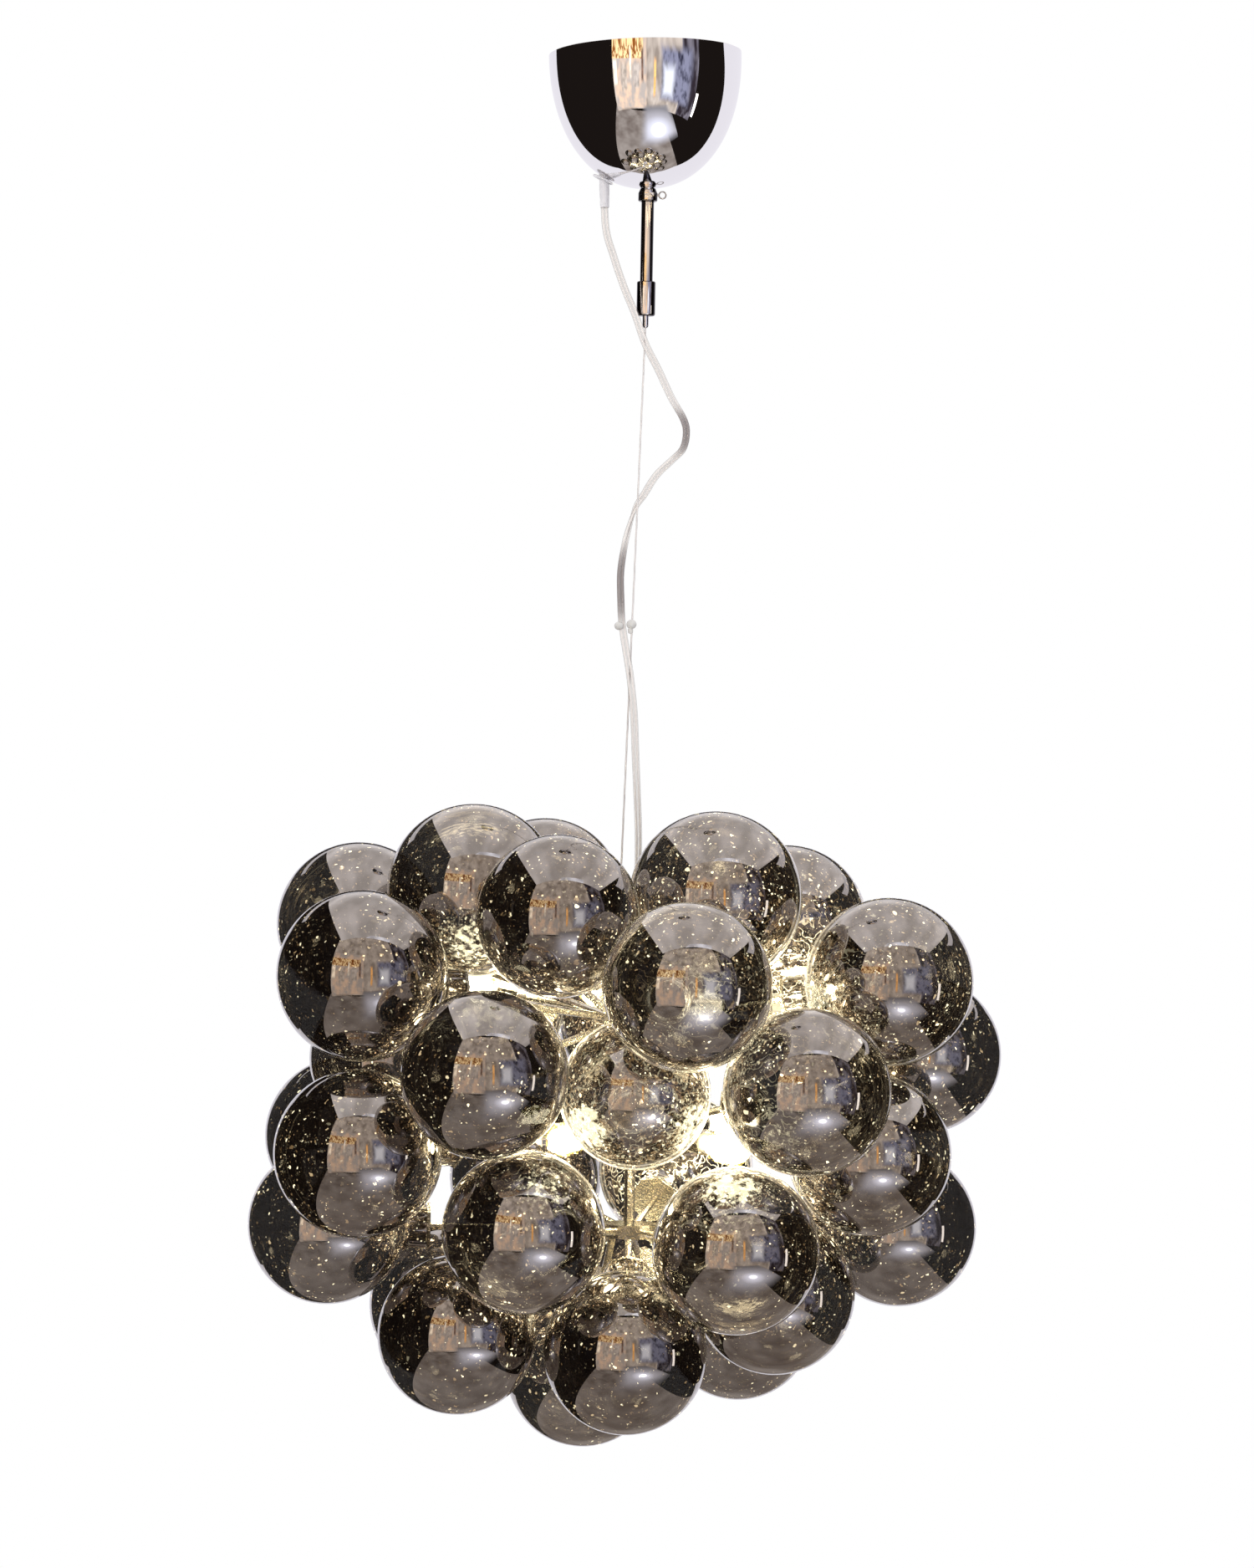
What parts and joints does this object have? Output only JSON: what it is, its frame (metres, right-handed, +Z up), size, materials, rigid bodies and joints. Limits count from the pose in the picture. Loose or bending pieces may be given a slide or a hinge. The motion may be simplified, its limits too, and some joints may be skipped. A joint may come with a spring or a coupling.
{
  "type": "pendant light",
  "caption": "Pendant light: a cluster of mirrored smoke glass globes on a hidden metal frame, hung by a steel wire and clear cord from a chrome bowl-shaped ceiling cup.",
  "frame": {"origin": "centre of the ceiling plate's top face, where it meets the ceiling", "axes": "+Z up out of the plate into the ceiling, the lamp hangs along -Z; -Y is the pictured side; +X is the side of the collar's thumbscrew"},
  "size_m": [0.4984, 0.4665, 0.9301],
  "materials": {
    "polished_chrome": "polished mirror chrome plate",
    "steel": "plain bright steel",
    "clear_plastic": "clear, slightly milky",
    "white_ceramic": "satin white",
    "smoke_glass": "mouth-blown, half-mirrored smoke glass",
    "lamp_glass": "lit warm white capsule"
  },
  "bodies": {
    "ceiling_mount": {"ceiling_plate": "steel", "ceiling_hook": "steel"},
    "hanger": {"suspension_tube": "polished_chrome", "gripper_barrel": "polished_chrome", "terminal_block": "white_ceramic", "supply_cord": "clear_plastic"},
    "cup": {"ceiling_cup": "polished_chrome", "cup_collar": "polished_chrome", "cord_gland": "clear_plastic"},
    "thumbscrew": {"collar_thumbscrew": "polished_chrome"},
    "nipple": {"gripper_nipple": "polished_chrome"},
    "wire": {"suspension_wire": "steel", "wire_ferrule": "steel", "cord_clip": "clear_plastic"},
    "cluster": {"centre_stem": "polished_chrome", "cluster_head": "polished_chrome", "globe_bottom_1": "smoke_glass", "globe_bottom_2": "smoke_glass", "globe_bottom_3": "smoke_glass", "globe_bottom_4": "smoke_glass", "globe_bottom_5": "smoke_glass", "globe_bottom_6": "smoke_glass", "globe_bottom_7": "smoke_glass", "globe_lower_1": "smoke_glass", "globe_lower_2": "smoke_glass", "globe_lower_3": "smoke_glass", "globe_lower_4": "smoke_glass", "globe_lower_5": "smoke_glass", "globe_lower_6": "smoke_glass", "globe_middle_1": "smoke_glass", "globe_middle_2": "smoke_glass", "globe_middle_3": "smoke_glass", "globe_middle_4": "smoke_glass", "globe_middle_5": "smoke_glass", "globe_middle_6": "smoke_glass", "globe_top_1": "smoke_glass", "globe_top_2": "smoke_glass", "globe_top_3": "smoke_glass", "globe_top_4": "smoke_glass", "globe_top_5": "smoke_glass", "globe_top_6": "smoke_glass", "globe_upper_1": "smoke_glass", "globe_upper_2": "smoke_glass", "globe_upper_3": "smoke_glass", "globe_upper_4": "smoke_glass", "globe_upper_5": "smoke_glass", "globe_upper_6": "smoke_glass", "globe_upper_7": "smoke_glass", "globe_upper_8": "smoke_glass", "lamp_1": "lamp_glass", "lamp_2": "lamp_glass", "lamp_3": "lamp_glass", "lamp_4": "lamp_glass", "lamp_5": "lamp_glass", "lamp_6": "lamp_glass", "lamp_7": "lamp_glass", "lamp_8": "lamp_glass", "lower_spider": "steel", "middle_spider": "steel", "upper_spider": "steel"}
  },
  "joints": [
    {"name": "lamp_sway", "type": "hinge", "parent": "ceiling_mount", "child": "hanger", "pos_m": [0, 0, -0.0192], "axis": [0, 1, 0], "range_deg": [-3, 3]},
    {"name": "cup_slide", "type": "slide", "parent": "hanger", "child": "cup", "axis": [0, 0, -1], "range_m": [0, 0.03], "deforming": ["supply_cord"]},
    {"name": "thumbscrew_turn", "type": "hinge", "parent": "cup", "child": "thumbscrew", "pos_m": [0, 0, -0.09735], "axis": [1, 0, 0], "range_deg": [0, 360]},
    {"name": "gripper_release", "type": "slide", "parent": "hanger", "child": "nipple", "axis": [0, 0, 1], "range_m": [0, 0.0025], "stiffness_N_per_m": 800},
    {"name": "height_adjust", "type": "slide", "parent": "hanger", "child": "wire", "axis": [0, 0, 1], "range_m": [0, 0.1], "deforming": ["suspension_wire", "supply_cord"]},
    {"name": "cluster_rock", "type": "hinge", "parent": "wire", "child": "cluster", "pos_m": [-0.011, 0, -0.608], "axis": [1, 0, 0], "range_deg": [-3, 3], "deforming": ["supply_cord"]}
  ]
}
